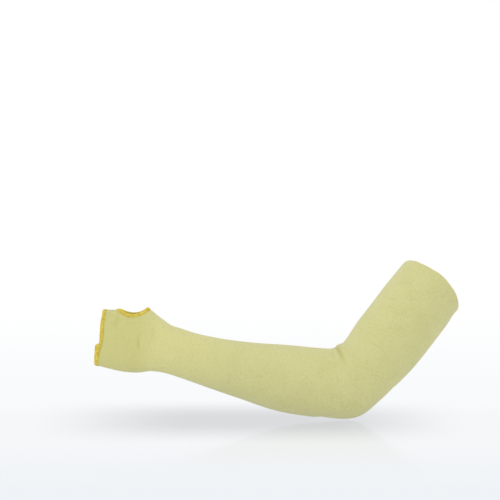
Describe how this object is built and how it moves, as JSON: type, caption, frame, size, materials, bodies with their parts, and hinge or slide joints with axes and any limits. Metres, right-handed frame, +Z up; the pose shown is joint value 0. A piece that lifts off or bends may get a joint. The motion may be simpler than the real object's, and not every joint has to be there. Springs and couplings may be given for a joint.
{
  "type": "cut resistant sleeve",
  "caption": "Long seamless knit arm sleeve with a thumb hole, a bound hand edge and a bent elbow, as worn.",
  "frame": {"origin": "middle of the elbow, on the middle line of the arm that fills the sleeve", "axes": "+X from the hand end towards the elbow, +Z up as worn, -Y towards the viewed side; the upper arm leads up, to +X and to +Y"},
  "size_m": [0.5235, 0.1864, 0.2181],
  "materials": {
    "knit_yarn": "matt pale yellow aramid knit",
    "edging_thread": "soft yellow overlock thread"
  },
  "bodies": {
    "root": {"sleeve_body": "knit_yarn", "hand_edging": "edging_thread", "thumb_edging": "edging_thread"}
  },
  "joints": []
}
